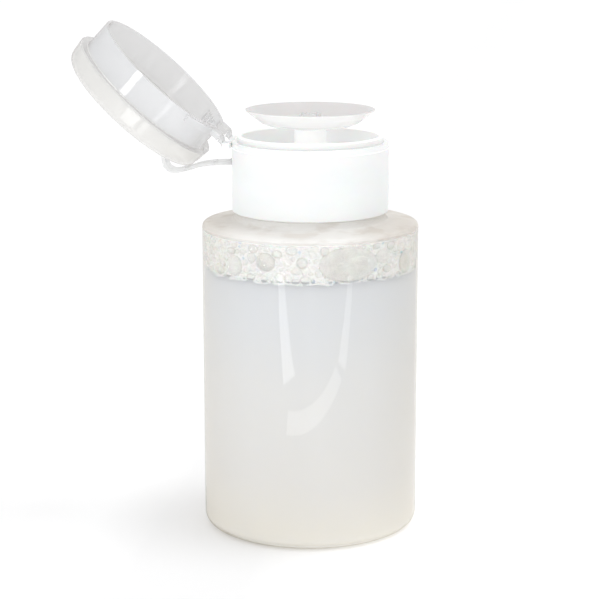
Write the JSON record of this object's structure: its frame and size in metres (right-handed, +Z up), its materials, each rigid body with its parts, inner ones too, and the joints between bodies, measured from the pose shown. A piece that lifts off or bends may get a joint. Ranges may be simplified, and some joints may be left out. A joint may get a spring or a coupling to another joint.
{
  "type": "pump oil bottle",
  "caption": "Clear cylindrical bottle of milky liquid with a white screw collar, a push-down pump dish on a stem and a translucent flip lid held by a snap strap.",
  "frame": {"origin": "centre of the bottle's standing face, on its axis", "axes": "+Z up along the bottle's axis; the lid's hinge is on the -X side and its axis runs along Y; XZ is the plane of symmetry of the outside"},
  "size_m": [0.0959, 0.06, 0.1408],
  "materials": {
    "bottle_pet": "gloss",
    "liquid": "gloss",
    "foam": "gloss",
    "white_pp": "satin",
    "dish_pp": "gloss",
    "natural_pp": "gloss",
    "pump_pp": "satin",
    "seal_pe": "satin",
    "spring_steel": "polished",
    "ball_glass": "polished",
    "tube_pe": "satin"
  },
  "bodies": {
    "bottle": {"bottle": "bottle_pet", "liquid": "liquid", "foam": "foam"},
    "pump": {"pump_housing": "pump_pp", "guide_bush": "white_pp", "neck_gasket": "seal_pe", "ball_cage": "pump_pp", "dip_tube": "tube_pe", "return_spring": "spring_steel"},
    "closure": {"collar": "white_pp", "lid_ring": "natural_pp", "strap_anchor": "natural_pp", "hinge_web_front": "natural_pp", "hinge_web_back": "natural_pp"},
    "lid": {"lid": "natural_pp"},
    "strap_root": {"strap_root": "natural_pp"},
    "strap_middle": {"strap_middle": "natural_pp"},
    "strap_tip": {"strap_tip": "natural_pp"},
    "actuator": {"dish": "dish_pp", "stem": "white_pp", "piston_seal": "seal_pe"},
    "outlet_cap": {"outlet_cap": "dish_pp"},
    "outlet_ball": {"outlet_ball": "ball_glass"},
    "inlet_ball": {"inlet_ball": "ball_glass"}
  },
  "joints": [
    {"name": "pump_lift", "type": "slide", "parent": "bottle", "child": "pump", "axis": [0, 0, 1], "range_m": [0, 0.00315]},
    {"name": "collar_turn", "type": "hinge", "parent": "pump", "child": "closure", "pos_m": [0, 0, 0.0983], "axis": [0, 0, 1], "range_deg": [0, 540]},
    {"name": "lid_flip", "type": "hinge", "parent": "closure", "child": "lid", "pos_m": [-0.02367, 0, 0.10965], "axis": [0, 1, 0], "range_deg": [0, 137.15], "deforming": ["hinge_web_front", "hinge_web_back", "strap_root", "strap_middle", "strap_tip"]},
    {"name": "strap_root_bend", "type": "hinge", "parent": "closure", "child": "strap_root", "pos_m": [-0.0226, 0, 0.10265], "axis": [0, 1, 0], "range_deg": [0, 96.81]},
    {"name": "strap_middle_bend", "type": "hinge", "parent": "strap_root", "child": "strap_middle", "pos_m": [-0.0303, 0, 0.10195], "axis": [0, 1, 0], "range_deg": [0, 32.15]},
    {"name": "strap_tip_bend", "type": "hinge", "parent": "strap_middle", "child": "strap_tip", "pos_m": [-0.0384, 0, 0.10015], "axis": [0, 1, 0], "range_deg": [-69.12, 0]},
    {"name": "dish_press", "type": "slide", "parent": "pump", "child": "actuator", "axis": [0, 0, -1], "range_m": [0, 0.0065], "stiffness_N_per_m": 600, "springref_m": -0.003, "deforming": ["return_spring"]},
    {"name": "outlet_cap_turn", "type": "hinge", "parent": "actuator", "child": "outlet_cap", "pos_m": [0, 0, 0.114], "axis": [0, 0, 1], "range_deg": [0, 90]},
    {"name": "outlet_ball_lift", "type": "slide", "parent": "actuator", "child": "outlet_ball", "axis": [0, 0, 1], "range_m": [0, 0.0015]},
    {"name": "inlet_ball_lift", "type": "slide", "parent": "pump", "child": "inlet_ball", "axis": [0, 0, 1], "range_m": [0, 0.0011]}
  ],
  "couplings": [
    {"joint": "collar_turn", "follows": "pump_lift", "rad_per_m": 2992},
    {"joint": "strap_root_bend", "follows": "lid_flip", "ratio": 0.7022},
    {"joint": "strap_middle_bend", "follows": "lid_flip", "ratio": 0.23076},
    {"joint": "strap_tip_bend", "follows": "lid_flip", "ratio": -0.50029}
  ]
}
